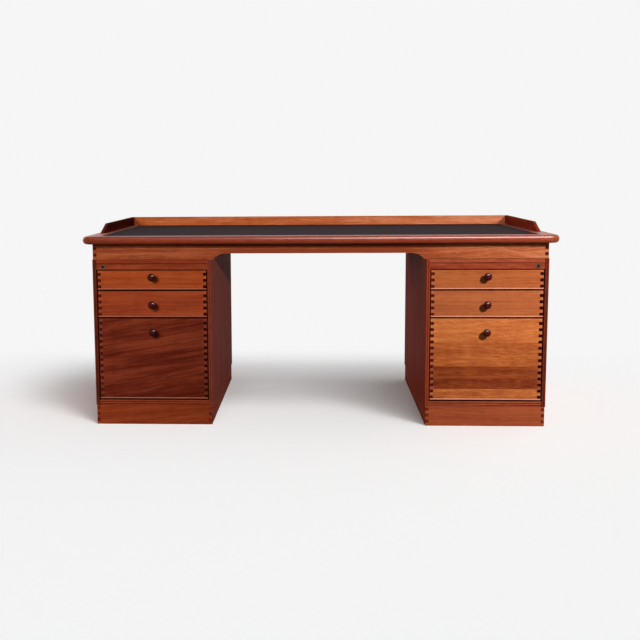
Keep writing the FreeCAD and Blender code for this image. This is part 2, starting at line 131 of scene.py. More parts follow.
plainWood = {
    "along": "x",
    "seed": 0.0,
    "dark": (110, 50, 26),
    "middle": (150, 72, 38),
    "light": (178, 98, 58),
    "slope": 0.0,           # how far the grain climbs for each metre along the board
    "wander": 0.008,        # how far it drifts from a straight line
    "heart": (-0.25, 0.3),  # where the tree's heart lies, in the board's thickness and across its width
    "ringsPerMetre": 170.0,
    "rings": 0.3,
    "fibres": 0.45,
    "streaks": 0.45,
    "streakWidth": 0.02,
    "flecks": 0.25,
    "ribbon": 0.1,
    "endGrain": (66, 18, 10),
    # painted shade with dust: the colour that tight corners and gaps darken to
    "grime": (78, 20, 10),
    "creviceReach": 0.003,
    "roughness": 0.48,
    "sheen": 0.02,
    "relief": 0.3,          # strength of the raised grain
    "swirl": None,          # place along and across, reach and strength of a swirl round a hidden knot
    "strips": None,         # upper edges of glued-up strips, each with its tone
    "lengthTones": None,    # places along the board, each with its tone
    "frontEdge": None,      # colour of a lipped front edge
    "paleEnds": None,       # middle and half length of a front whose planed fingers are painted paler and pinker, planed timber with a painted sheen
    "paleShare": 0.28,
}
woodNoise = {  # scale along the grain, in depth and across, then detail and roughness
    "drift": ((1.6, 5.0, 5.0), 2.0),
    "fibres": ((7.0, 420.0, 420.0), 5.0, 0.62),
    "flecks": ((34.0, 150.0, 150.0), 3.0, 0.6),
    "ribbon": ((24.0, 5.0, 5.0), 2.0),
    "pores": ((110.0, 2300.0, 2300.0), 1.0),
    "speckle": ((900.0, 900.0, 900.0), 2.0),
    "patches": ((30.0, 30.0, 30.0), 3.0),
    "smears": ((3.0, 8.0, 8.0), 3.0),
}
woodDetail = {
    "seedShift": (1.0, 0.37, 0.71),
    "swirlStretch": 2.4,
    "stripShift": 3.7,           # how far apart in the tree the glued-up strips were cut
    "streakStretch": 0.06,
    "poreEdges": (0.6, 0.7),
    "poreShade": 0.3,
    "frontFacing": (0.4, 0.7),
    "frontShare": 0.8,
    "endFacing": (0.55, 0.75),
    "endContrast": 1.6,
    "endTones": (0.7, 1.35),
    "rubbedShare": 0.4,
    "patchWear": (0.35, 0.6, 0.35, 1.0),
    "endDulling": 0.8,
    "fibreShine": 0.2,
    "smearShine": 0.15,
    "endShine": 0.15,
    "bumpDepth": 0.0002,
}
# how closed in a corner must be before its painted shade begins, and how dark it gets
crevice = {"reach": 0.006, "open": 0.85, "closed": 0.3, "darkest": 0.75}
# length, fade and colour of the painted sheen on a front's end fingers
paleFinger = {"length": 0.0135, "fade": 0.001, "colour": (200, 120, 95)}


def withDustAndShade(tree, colour, grime, reach=crevice["reach"]):
    # painted shade: every tight corner, gap and recess is darkened towards this colour by how closed in it
    # is, shade with some dust
    openness = add(tree, "AmbientOcclusion", {"Distance": reach}, samples=6).outputs["AO"]
    dustAndShadeShare = span(tree, openness, crevice["open"], crevice["closed"], 0.0, crevice["darkest"])
    return blendColour(tree, dustAndShadeShare, colour, paint(*grime))


def growthRings(tree, look, depth, across, drift):
    # distance from the heart of the tree, read along one line of noise
    heartDepth, heartAcross = look["heart"]
    fromHeart = calc(tree, "SUBTRACT", calc(tree, "ADD", depth, drift), heartDepth)
    beside = calc(tree, "SUBTRACT", calc(tree, "ADD", across, drift), heartAcross)
    squares = calc(tree, "MULTIPLY_ADD", beside, beside, calc(tree, "MULTIPLY", fromHeart, fromHeart))
    reach = calc(tree, "MULTIPLY", calc(tree, "SQRT", squares), look["ringsPerMetre"])
    return add(tree, "TexNoise", {"W": reach, "Scale": 1.0, "Detail": 3.0, "Roughness": 0.6},
               noise_dimensions="1D").outputs["Fac"]


def swirled(tree, swirl, along, across):
    swirlAlong, swirlAcross, radius, strength = swirl
    reachAlong = radius * woodDetail["swirlStretch"]
    dx = calc(tree, "DIVIDE", calc(tree, "SUBTRACT", along, swirlAlong), reachAlong)
    dz = calc(tree, "DIVIDE", calc(tree, "SUBTRACT", across, swirlAcross), radius)
    reach = calc(tree, "MULTIPLY_ADD", dx, dx, calc(tree, "MULTIPLY", dz, dz))
    bulge = calc(tree, "DIVIDE", strength, calc(tree, "ADD", reach, 1.0))
    turned = calc(tree, "MULTIPLY_ADD", bulge, dz, across)
    return calc(tree, "MULTIPLY_ADD", bulge, dx, turned)


def timber(name, **changes):
    look = {**plainWood, **changes}
    made, tree, shader = newMaterial(name)
    place = add(tree, "TexCoord")
    turned = add(tree, "Mapping", {"Vector": place.outputs["Object"], "Rotation": grainTurns[look["along"]]})
    split = add(tree, "SeparateXYZ", {"Vector": turned.outputs[0]})
    along, depth, across = split.outputs
    tone = 0.0
    if look["strips"]:
        # each strip is its own piece of timber: another tone, and another place in the tree
        height = look["strips"][-1][0]
        edges = [0.0] + [edge / height for edge, level in look["strips"][:-1]]
        stops = [(edge, (level, level, level, 1)) for edge, (top, level) in zip(edges, look["strips"])]
        level = rampColour(tree, calc(tree, "DIVIDE", across, height), stops, steps=True)
        tone = calc(tree, "SUBTRACT", level, 0.5)
        depth = calc(tree, "MULTIPLY_ADD", tone, woodDetail["stripShift"], depth)
    if look["lengthTones"]:
        first = look["lengthTones"][0][0]
        length = look["lengthTones"][-1][0] - first
        stops = [((x - first) / length, (level, level, level, 1)) for x, level in look["lengthTones"]]
        share = calc(tree, "DIVIDE", calc(tree, "SUBTRACT", along, first), length)
        tone = calc(tree, "SUBTRACT", rampColour(tree, share, stops), 0.5)
    if look["slope"]:
        across = calc(tree, "MULTIPLY_ADD", along, -look["slope"], across)
    if look["swirl"]:
        across = swirled(tree, look["swirl"], along, across)
    seeded = add(tree, "CombineXYZ", {"X": along, "Y": depth, "Z": across}).outputs[0]
    shift = tuple(look["seed"] * share for share in woodDetail["seedShift"])
    seeded = add(tree, "VectorMath", {0: seeded, 1: shift}, operation="ADD").outputs[0]
    drift = stretchedNoise(tree, seeded, *woodNoise["drift"])
    drift = span(tree, drift, 0.3, 0.7, -look["wander"], look["wander"])
    lift = add(tree, "CombineXYZ", {"Y": drift, "Z": drift}).outputs[0]
    grain = add(tree, "VectorMath", {0: seeded, 1: lift}, operation="ADD").outputs[0]
    rings = growthRings(tree, look, depth, across, drift)
    fibres = stretchedNoise(tree, grain, *woodNoise["fibres"])
    fine = 1.0 / look["streakWidth"]
    streaks = stretchedNoise(tree, grain, (fine * woodDetail["streakStretch"], fine, fine), 4.0, 0.5)
    flecks = stretchedNoise(tree, grain, *woodNoise["flecks"])
    ribbon = stretchedNoise(tree, grain, *woodNoise["ribbon"])
    pores = stretchedNoise(tree, grain, *woodNoise["pores"])
    value = calc(tree, "ADD", tone, 0.5)
    for source, weight in ((rings, look["rings"]), (fibres, look["fibres"]), (streaks, look["streaks"]),
                           (flecks, look["flecks"]), (ribbon, look["ribbon"])):
        value = calc(tree, "MULTIPLY_ADD", calc(tree, "SUBTRACT", source, 0.5), weight * 2.0, value)
    face = rampColour(tree, value, [(0.12, paint(*look["dark"])), (0.5, paint(*look["middle"])),
                                    (0.88, paint(*look["light"]))])
    pit = span(tree, pores, *woodDetail["poreEdges"])
    shade = calc(tree, "MULTIPLY", pit, woodDetail["poreShade"])
    face = blendColour(tree, shade, face, paint(*look["dark"]), "MULTIPLY")
    # painted sheen: near each end of a front the planed fingers turn paler and pinker
    if look["paleEnds"]:
        middle, half = look["paleEnds"]
        fromMiddle = calc(tree, "ABSOLUTE", calc(tree, "SUBTRACT", along, middle))
        finger = half - paleFinger["length"]
        atEnd = span(tree, fromMiddle, finger, finger + paleFinger["fade"], 0.0, look["paleShare"])
        face = blendColour(tree, atEnd, face, paint(*paleFinger["colour"]))
    if look["frontEdge"]:
        normal = add(tree, "SeparateXYZ", {"Vector": place.outputs["Normal"]})
        facing = calc(tree, "ABSOLUTE", normal.outputs["Y"])
        edgeTone = blendColour(tree, woodDetail["frontShare"], face, paint(*look["frontEdge"]))
        face = blendColour(tree, span(tree, facing, *woodDetail["frontFacing"]), face, edgeTone)
    # the ends of the fibres drink more finish and look darker
    turnedEnd = add(tree, "VectorMath", {0: place.outputs["Normal"], 1: grainAxes[look["along"]]},
                    operation="DOT_PRODUCT").outputs["Value"]
    isEnd = span(tree, calc(tree, "ABSOLUTE", turnedEnd), *woodDetail["endFacing"])
    speckle = stretchedNoise(tree, seeded, *woodNoise["speckle"])
    ringTone = calc(tree, "SUBTRACT", rings, 0.5)
    endTone = calc(tree, "MULTIPLY_ADD", ringTone, woodDetail["endContrast"], speckle)
    darker, lighter = (paint(*[c * level for c in look["endGrain"]]) for level in woodDetail["endTones"])
    ends = rampColour(tree, endTone, [(0.3, darker), (0.75, lighter)])
    colour = blendColour(tree, isEnd, face, ends)
    # painted highlight and wear: eased arrises and rounded faces such as beads and lips are lightened in
    # patches towards the light tone, for the light they catch and for rubbing
    worn = add(tree, "Attribute", attribute_name="worn").outputs["Fac"]
    rubbedAndLit = blendColour(tree, woodDetail["rubbedShare"], colour, paint(*look["light"]))
    patches = span(tree, stretchedNoise(tree, seeded, *woodNoise["patches"]), *woodDetail["patchWear"])
    colour = blendColour(tree, calc(tree, "MULTIPLY", worn, patches), colour, rubbedAndLit)
    # painted shade: corners and gaps darken by how closed in they are, with some dust
    colour = withDustAndShade(tree, colour, look["grime"], look["creviceReach"])
    feed(tree, shader.inputs["Base Color"], colour)
    dulling = -woodDetail["endDulling"] * look["sheen"]
    sheen = calc(tree, "MULTIPLY_ADD", isEnd, dulling, look["sheen"])
    feed(tree, shader.inputs["Specular IOR Level"], sheen)
    fibreTone = calc(tree, "SUBTRACT", fibres, 0.5)
    shine = calc(tree, "MULTIPLY_ADD", fibreTone, woodDetail["fibreShine"], look["roughness"])
    smears = stretchedNoise(tree, seeded, *woodNoise["smears"])
    smearTone = calc(tree, "SUBTRACT", smears, 0.5)
    shine = calc(tree, "MULTIPLY_ADD", smearTone, woodDetail["smearShine"], shine)
    shine = calc(tree, "MULTIPLY_ADD", isEnd, woodDetail["endShine"], shine)
    feed(tree, shader.inputs["Roughness"], shine)
    hollow = calc(tree, "MULTIPLY_ADD", fibres, 0.5, calc(tree, "MULTIPLY", pit, -1.0))
    bump = add(tree, "Bump", {"Height": hollow, "Strength": look["relief"],
                              "Distance": woodDetail["bumpDepth"]})
    feed(tree, shader.inputs["Normal"], bump.outputs[0])
    return made


print("timber recipe ready")


# boards: the solids with flat faces cleaned up and every open arris eased with fine paper

boardFinish = {
    "arris": 0.0005,
    "arrisSteps": 2,
    "sharpAngle": math.radians(40),
    "shortestArris": 0.003,
    "feeler": 0.0002,
    "weldDistance": 1e-6,
    "flatAngle": math.radians(0.2),
    "roundAngle": (math.radians(3), math.radians(30)),
    # share of the painted highlight and wear that rounded faces take
    "roundWear": 0.6,
}


def everySolid():
    points = []
    faces = []
    for node in frame["nodes"].values():
        first = len(points)
        points.extend(v.co for v in node.data.vertices)
        faces.extend([first + k for k in face.vertices] for face in node.data.polygons)
    return BVHTree.FromPolygons(points, faces)


solidTree = everySolid()


def isCovered(point, direction):
    # inside another board, a feeler meets that board's far surface from within
    place, normal, face, distance = solidTree.ray_cast(point, direction)
    return place is not None and normal.dot(direction) > 0


def isArris(edge, finish):
    # an outer edge is eased where both of its faces are open to the air
    if not edge.is_manifold or edge.calc_length() < finish["shortestArris"]:
        return False
    if edge.calc_face_angle_signed() < finish["sharpAngle"]:
        return False
    middle = (edge.verts[0].co + edge.verts[1].co) / 2
    one, other = (face.normal.copy() for face in edge.link_faces)
    feeler = finish["feeler"]
    return not (isCovered(middle + (one - other) * feeler, one)
                or isCovered(middle + (other - one) * feeler, other))


def solidsOf(mesh):
    # the faces come solid by solid, and a solid is whole once each of its edges has been met twice
    solids = []
    current = []
    unmatched = set()
    for face in mesh.faces:
        current.append([v.co.copy() for v in face.verts])
        for edge in face.edges:
            unmatched ^= {frozenset(v.co.copy().freeze() for v in edge.verts)}
        if not unmatched:
            solids.append(current)
            current = []
    return solids


def middleOf(faces):
    points = [point for face in faces for point in face]
    low = Vector(map(min, zip(*points)))
    high = Vector(map(max, zip(*points)))
    return (low + high) / 2


def isRound(face, finish):
    least, most = finish["roundAngle"]
    return any(edge.is_manifold and least < edge.calc_face_angle() < most for edge in face.edges)


def boardMesh(node, chooser, finish):
    source = bmesh.new()
    source.from_mesh(frame["nodes"][node].data)
    joined = bmesh.new()
    # this layer marks eased and rounded faces for the painted highlight and wear
    wearAndHighlightLayer = joined.faces.layers.float.new("worn")
    for solid in solidsOf(source):
        index = chooser(middleOf(solid))
        if index is None:
            continue
        mesh = bmesh.new()
        for corners in solid:
            mesh.faces.new([mesh.verts.new(corner) for corner in corners])
        bmesh.ops.remove_doubles(mesh, verts=mesh.verts, dist=finish["weldDistance"])
        bmesh.ops.dissolve_limit(mesh, angle_limit=finish["flatAngle"], verts=mesh.verts, edges=mesh.edges)
        mesh.normal_update()
        rounds = mesh.faces.layers.float.new("round")
        for face in mesh.faces:
            face[rounds] = finish["roundWear"] if isRound(face, finish) else 0.0
        edges = [edge for edge in mesh.edges if isArris(edge, finish)]
        eased = bmesh.ops.bevel(mesh, geom=edges, offset=finish["arris"], offset_type="OFFSET",
                                segments=finish["arrisSteps"], profile=0.5, affect="EDGES",
                                clamp_overlap=True, material=-1)
        easedFaces = set(eased["faces"])
        copies = {v: joined.verts.new(v.co) for v in mesh.verts}
        for face in mesh.faces:
            copy = joined.faces.new([copies[v] for v in face.verts])
            copy.material_index = index
            copy[wearAndHighlightLayer] = 1.0 if face in easedFaces else face[rounds]
        mesh.free()
    source.free()
    joined.normal_update()
    return joined


def shadeSoftly(mesh, angle=math.radians(32)):
    for face in mesh.faces:
        face.smooth = True
    for edge in mesh.edges:
        if edge.is_manifold and edge.calc_face_angle() > angle:
            edge.smooth = False


def placePiece(name, mesh, materials, nodes):
    shadeSoftly(mesh)
    data = bpy.data.meshes.new(name)
    mesh.to_mesh(data)
    mesh.free()
    for material in materials:
        data.materials.append(material)
    piece = bpy.data.objects.new(name, data)
    scene.collection.objects.link(piece)
    normals = piece.modifiers.new("even shading", "WEIGHTED_NORMAL")
    normals.keep_sharp = True
    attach(piece, nodeBody[nodes[0]])
    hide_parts(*nodes)
    return piece


def camelName(node):
    first, *others = node.split("_")
    return first + "".join(word.capitalize() for word in others)


def board(node, *materials, chooser=lambda middle: 0, ending="Board", **changes):
    finish = {**boardFinish, **changes}
    return placePiece(camelName(node) + ending, boardMesh(node, chooser, finish), materials, [node])


# the top's rails, gallery and apron

topLooks = {
    # painted light: the front and back rails darken towards the left and lighten towards the right, as the
    # light on them does
    "frontRail": {"along": "x", "seed": 1.3, "dark": (88, 26, 12), "middle": (122, 46, 24),
                  "light": (148, 66, 40), "roughness": 0.34, "sheen": 0.1, "relief": 0.03,
                  "rings": 0.12, "streaks": 0.15, "fibres": 0.25,
                  "lengthTones": [(-0.9, 0.36), (-0.2, 0.5), (0.9, 0.6)]},
    "sideRail": {"along": "y", "seed": 2.1, "dark": (96, 38, 20), "middle": (140, 62, 34),
                 "light": (170, 88, 54), "roughness": 0.34, "sheen": 0.1},
    # painted sheen: the gallery's back board grows lighter and pinker towards the right
    "galleryBack": {"along": "x", "seed": 4.4, "dark": (152, 73, 37), "middle": (179, 92, 49),
                    "light": (206, 131, 97), "streakWidth": 0.012,
                    "lengthTones": [(-0.88, 0.44), (0.2, 0.54), (0.88, 0.72)]},
    # painted shade: the gallery's side boards are much darker than its back, for the shade on their inner
    # faces
    "galleryLeft": {"along": "y", "seed": 5.2, "dark": (66, 15, 8), "middle": (100, 26, 14),
                    "light": (128, 42, 24), "sheen": 0.004, "roughness": 0.55},
    "galleryRight": {"along": "y", "seed": 5.9, "dark": (83, 20, 11), "middle": (125, 37, 20),
                     "light": (151, 58, 33), "sheen": 0.004, "roughness": 0.55},
    # painted shade and light: the long aprons are darker in the middle and lighter towards the right, and
    # their wide, deep-red corner darkening paints the shadow under the top's overhang
    "apronLong": {"along": "x", "seed": 6.7, "dark": (122, 54, 29), "middle": (157, 83, 49),
                  "light": (182, 115, 80), "swirl": (0.72, 0.675, 0.016, 0.034),
                  "creviceReach": 0.022, "grime": (76, 5, 2),
                  "lengthTones": [(-0.9, 0.22), (-0.5, 0.22), (-0.25, 0.02), (0.25, 0.02), (0.6, 0.46),
                                  (0.9, 0.56)]},
    "apronLeft": {"along": "y", "seed": 7.9, "dark": (100, 40, 20), "middle": (146, 66, 36),
                  "light": (172, 90, 52), "endGrain": (112, 36, 20)},
    "apronRight": {"along": "y", "seed": 8.3, "dark": (100, 40, 20), "middle": (146, 66, 36),
                   "light": (172, 90, 52), "endGrain": (62, 14, 8)},
}
topMahogany = {name: timber("mahogany " + name, **look) for name, look in topLooks.items()}

railBoards = {"top_rail_front": "frontRail", "top_rail_back": "frontRail", "top_rail_left": "sideRail",
              "top_rail_right": "sideRail"}
otherTopBoards = {"gallery_back": "galleryBack", "gallery_left": "galleryLeft",
                  "gallery_right": "galleryRight", "apron_front": "apronLong", "apron_back": "apronLong",
                  "apron_left": "apronLeft", "apron_right": "apronRight"}
for node, look in railBoards.items():
    board(node, topMahogany[look], roundWear=0.0)
for node, look in otherTopBoards.items():
    board(node, topMahogany[look])
print("top dressed")


# the pedestals' carcases and plinths

carcaseLooks = {
    # painted shade: the kneehole's inner sides are darker copies of the mahogany, and their corners darken
    # further, for the shade inside the kneehole
    "leftInnerSide": {"along": "z", "seed": 11.2, "dark": (62, 22, 17), "middle": (88, 35, 28),
                      "light": (110, 48, 37), "frontEdge": (58, 22, 8), "sheen": 0.001,
                      "creviceReach": 0.016},
    "rightInnerSide": {"along": "z", "seed": 12.9, "dark": (64, 19, 13), "middle": (93, 30, 20),
                       "light": (116, 42, 28), "frontEdge": (78, 30, 12), "sheen": 0.001,
                       "creviceReach": 0.016},
    "leftOuterSide": {"along": "z", "seed": 13.4, "dark": (88, 32, 18), "middle": (122, 50, 29),
                      "light": (148, 70, 43), "frontEdge": (72, 26, 15)},
    "rightOuterSide": {"along": "z", "seed": 14.6, "dark": (92, 34, 19), "middle": (128, 53, 31),
                       "light": (154, 74, 46), "frontEdge": (76, 22, 13)},
    "leftLevel": {"along": "x", "seed": 15.5, "dark": (110, 41, 23), "middle": (140, 56, 31),
                  "light": (167, 79, 48)},
    "rightLevel": {"along": "x", "seed": 16.3, "dark": (114, 43, 25), "middle": (146, 61, 38),
                   "light": (184, 97, 64)},
    "back": {"along": "z", "seed": 20.6, "dark": (112, 46, 26), "middle": (150, 70, 40),
             "light": (176, 96, 58)},
    "leftPlinthFront": {"along": "x", "seed": 17.1, "dark": (113, 40, 22), "middle": (146, 60, 29),
                        "light": (165, 74, 38), "slope": 0.1},
    "rightPlinthFront": {"along": "x", "seed": 18.8, "dark": (145, 63, 38), "middle": (170, 82, 48),
                         "light": (187, 96, 60)},
    # painted shade: the plinth's side boards are darker copies too, with the same wider corner darkening,
    # for the kneehole's shade
    "plinthSide": {"along": "y", "seed": 19.7, "dark": (62, 23, 15), "middle": (96, 38, 24),
                   "light": (122, 56, 36), "sheen": 0.001, "creviceReach": 0.016},
}
carcaseMahogany = {name: timber("mahogany " + name, **look) for name, look in carcaseLooks.items()}
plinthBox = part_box("right_plinth_boards")
endShare = 0.9  # a board that lies further out than this is the plinth's front or back
plinthReach = (plinthBox[1].y - plinthBox[0].y) / 2 * endShare


def plinthEnd(middle):
    return 0 if abs(middle.y) > plinthReach else None


def plinthSide(middle):
    return None if abs(middle.y) > plinthReach else 0


kneeholePieces = []
for side in ("left", "right"):
    crossMahogany = carcaseMahogany[side + "Level"]
    kneeholePieces.append(board(side + "_inner_side", carcaseMahogany[side + "InnerSide"]))
    board(side + "_outer_side", carcaseMahogany[side + "OuterSide"])
    board(side + "_lock_rail", crossMahogany)
    # painted highlight: the beads on the carcase's top and bottom boards are lightened in full
    board(side + "_carcase_top", crossMahogany, roundWear=1.0)
    board(side + "_carcase_bottom", crossMahogany, roundWear=1.0)
    board(side + "_back_panel", carcaseMahogany["back"])
    board(side + "_plinth_boards", carcaseMahogany[side + "PlinthFront"], chooser=plinthEnd,
          ending="Ends")
    kneeholePieces.append(board(side + "_plinth_boards", carcaseMahogany["plinthSide"],
                                chooser=plinthSide, ending="Sides"))
print("pedestals dressed")


# the drawers

drawerLooks = {
    "leftTop": {"seed": 21.4, "paleShare": 0.1, "lengthTones": [(-0.846, 0.42), (-0.427, 0.6)],
                "dark": (133, 52, 22), "middle": (166, 71, 33), "light": (182, 86, 42)},
    "leftMiddle": {"seed": 22.6, "paleShare": 0.1, "lengthTones": [(-0.846, 0.42), (-0.427, 0.6)],
                   "dark": (125, 46, 26), "middle": (158, 66, 35), "light": (174, 79, 44)},
    "leftBottom": {"seed": 23.9, "paleShare": 0.1, "dark": (89, 28, 16), "middle": (112, 42, 25),
                   "light": (138, 58, 35), "slope": 0.16, "streaks": 1.1, "streakWidth": 0.026,
                   "fibres": 0.7},
    "rightTop": {"seed": 24.3, "lengthTones": [(0.427, 0.56), (0.846, 0.45)],
                 "dark": (145, 71, 36), "middle": (174, 92, 50), "light": (188, 106, 62)},
    "rightMiddle": {"seed": 25.7, "dark": (150, 74, 41), "middle": (176, 94, 54),
                    "light": (192, 110, 65)},
    "rightBottom": {"seed": 26.8, "dark": (118, 47, 24), "middle": (171, 85, 42), "light": (222, 131, 71),
                    "streaks": 0.2, "rings": 0.12, "flecks": 0.25, "fibres": 0.35,
                    "strips": [(0.143, 0.6), (0.1853, 0.22), (0.2308, 0.3), (0.3225, 0.55), (0.42, 0.68)]},
}
drawerParts = {"lipHeight": 0.004, "backThickness": 0.02}  # what tells a lip and a back from the rest
insideLook = {"along": "y", "seed": 31.5, "dark": (120, 60, 34), "middle": (160, 90, 54),
              "light": (186, 118, 78)}
evenGrain = {"rings": 0.1, "streaks": 0.1, "fibres": 0.2, "flecks": 0.1}
# painted highlight: the lips' pale pinkish colours stand in for the highlight along their rounded noses,
# paler still on the right
lipLooks = {
    "left": {"along": "x", "seed": 33.1, "dark": (136, 66, 42), "middle": (168, 92, 64),
             "light": (196, 124, 98), "roughness": 0.34, "sheen": 0.12, **evenGrain},
    "right": {"along": "x", "seed": 34.6, "dark": (186, 112, 86), "middle": (214, 142, 116),
              "light": (232, 170, 148), "roughness": 0.34, "sheen": 0.12, **evenGrain},
}
drawerSideMahogany = {
    "left": timber("mahogany left drawer sides", **insideLook, endGrain=(78, 24, 14)),
    "right": timber("mahogany right drawer sides", **insideLook, endGrain=(48, 9, 5)),
}
drawerBackMahogany = timber("mahogany drawer backs", **{**insideLook, "along": "x", "seed": 32.2})
lipMahogany = {side: timber("mahogany " + side + " lips", **look) for side, look in lipLooks.items()}


def dressDrawer(side, level):
    stem = side + "_" + level + "_drawer_"
    low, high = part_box(stem + "front")
    middleX = (low.x + high.x) / 2
    lipTop = low.z + drawerParts["lipHeight"]
    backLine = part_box(stem + "box")[1].y - drawerParts["backThickness"]
    look = drawerLooks[side + level.capitalize()]
    ends = (middleX, (high.x - low.x) / 2)
    front = timber("mahogany " + side + level.capitalize() + "Drawer", **look, paleEnds=ends)
    board(stem + "front", front, lipMahogany[side], chooser=lambda middle: 1 if middle.z < lipTop else 0)

    def boxPart(middle):
        if middle.y > backLine:
            return 2
        return 1 if middle.x > middleX else 0

    board(stem + "box", drawerSideMahogany["left"], drawerSideMahogany["right"], drawerBackMahogany,
          chooser=boxPart)


for side in ("left", "right"):
    for level in ("top", "middle", "bottom"):
        dressDrawer(side, level)
print("drawers dressed")


# knobs, each turned in one piece with its spigot

knobLook = {
    "baseRadius": 0.008,
    "baseThickness": 0.0024,
    "baseRound": 0.0007,
    "neckRadius": 0.0056,
    "neckOut": 0.009,
    "neckPulls": (0.0006, 0.003),           # handles of the curve from the base up to the neck
    "headPulls": (0.0035, 0.0035, 0.003),   # handles of the curve from the neck out to the rim
    "curveSteps": {"base": 4, "lowNeck": 7, "highNeck": 9, "rim": 12, "dome": 14},
    "rimOut": 0.0175,
    "rimRound": 0.0045,
    "spigotRadius": 0.0045,
    "spigotLength": 0.015,
    "facets": 64,
    "wood": {"along": "z", "seed": 41.7, "dark": (42, 7, 5), "middle": (70, 15, 11), "light": (98, 30, 21),
             "endGrain": (58, 13, 9), "rings": 0.2, "streakWidth": 0.004, "roughness": 0.26,
             "sheen": 0.05},
}
knobMahogany = timber("dark turned mahogany", **knobLook["wood"])


def arcOf(middle, radius, start, end, steps):
    turns = [start + (end - start) * k / steps for k in range(steps + 1)]
    return [(middle[0] + radius * math.cos(turn), middle[1] + radius * math.sin(turn)) for turn in turns]


def curveOf(points, steps):
    knots = [Vector((radius, out, 0)) for radius, out in points]
    return [(point.x, point.y) for point in interpolate_bezier(*knots, steps)]


def knobProfile(radius, projection, look):
    steps = look["curveSteps"]
    rimRound = look["rimRound"]
    rimMiddle = (radius - rimRound, look["rimOut"])
    crown = projection - look["rimOut"]
    domeRadius = (rimMiddle[0] ** 2 + crown ** 2 - rimRound ** 2) / (2 * (crown - rimRound))
    spread = math.asin(rimMiddle[0] / (domeRadius - rimRound))
    baseEdge = (look["baseRadius"] - look["baseRound"], look["baseThickness"] - look["baseRound"])
    base = arcOf(baseEdge, look["baseRound"], 0, math.pi / 2, steps["base"])
    rim = arcOf(rimMiddle, rimRound, -math.pi / 4, math.pi / 2 - spread, steps["rim"])
    domeMiddle = (0.0, projection - domeRadius)
    dome = arcOf(domeMiddle, domeRadius, math.pi / 2 - spread, math.pi / 2, steps["dome"])
    neck = (look["neckRadius"], look["neckOut"])
    fromBase, toNeck = look["neckPulls"]
    lowPulls = [(neck[0], base[-1][1] + fromBase), (neck[0], neck[1] - toNeck)]
    lowNeck = curveOf([base[-1], *lowPulls, neck], steps["lowNeck"])
    fromNeck, rimIn, rimBack = look["headPulls"]
    highPulls = [(neck[0], neck[1] + fromNeck), (rim[0][0] - rimIn, rim[0][1] - rimBack)]
    highNeck = curveOf([neck, *highPulls, rim[0]], steps["highNeck"])
    spigot = [(0.0, -look["spigotLength"]), (look["spigotRadius"], -look["spigotLength"]),
              (look["spigotRadius"], 0.0), (look["baseRadius"], 0.0)]
    return spigot + base + lowNeck[1:] + highNeck[1:] + rim[1:] + dome[1:-1] + [(0.0, projection)]


def turned(profile, place, facets, ring=False):
    # the profile gives radius and distance out from the face, and turns round an axis along Y
    mesh = bmesh.new()
    circles = []
    for radius, out in profile:
        count = facets if radius > 0 else 1
        turns = [2 * math.pi * k / facets for k in range(count)]
        offsets = [Vector((radius * math.cos(turn), -out, radius * math.sin(turn))) for turn in turns]
        circles.append([mesh.verts.new(place + offset) for offset in offsets])
    following = circles[1:] + (circles[:1] if ring else [])
    for one, other in zip(circles, following):
        for k in range(facets):
            corners = [one[k % len(one)], one[(k + 1) % len(one)],
                       other[(k + 1) % len(other)], other[k % len(other)]]
            mesh.faces.new(list(dict.fromkeys(corners)))
    bmesh.ops.recalc_face_normals(mesh, faces=mesh.faces)
    return mesh


def makeKnob(node, faceY):
    low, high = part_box(node)
    place = Vector(((low.x + high.x) / 2, faceY, (low.z + high.z) / 2))
    profile = knobProfile((high.x - low.x) / 2, faceY - low.y, knobLook)
    return placePiece(camelName(node), turned(profile, place, knobLook["facets"]), [knobMahogany], [node])


for side in ("left", "right"):
    for level in ("top", "middle", "bottom"):
        stem = side + "_" + level + "_drawer_"
        makeKnob(stem + "knob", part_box(stem + "box")[0].y)
print("knobs turned")


# the leather, laid flush in the top with its edges turned down

leatherLook = {
    "cell": 0.012,
    "edgeSteps": (0.0, 0.0003, 0.0008, 0.0015, 0.003),
    "edgeRadius": 0.0015,
    "rise": 0.00012,
    "waves": 9.0,
    "dark": (22, 15, 18),
    # painted reflection: the pale clouds are lighter and warmer than the leather alone, for the gallery's
    # reflection in it
    "pale": (46, 33, 36),
    "scuffed": (72, 58, 57),
    # painted shade with dust: the colour that the leather's tight corners darken to
    "grime": (12, 8, 8),
    "roughness": (0.55, 0.68),
    "sheen": 0.006,
    "clouds": ((5.0, 5.0, 5.0), 4.0, 0.6),
    "scuffs": ((14.0, 60.0, 14.0), 6.0, 0.7),
    "scuffShare": (0.6, 0.75, 0.0, 0.35),
    "creases": ((120.0, 120.0, 120.0), 5.0),
    "pebble": 0.0022,
    "pebbleDepth": -0.6,
    "wobbleScale": 240.0,
    "wobbleReach": 0.0012,
    "bumpStrength": 0.14,
    "bumpDepth": 0.0003,
}


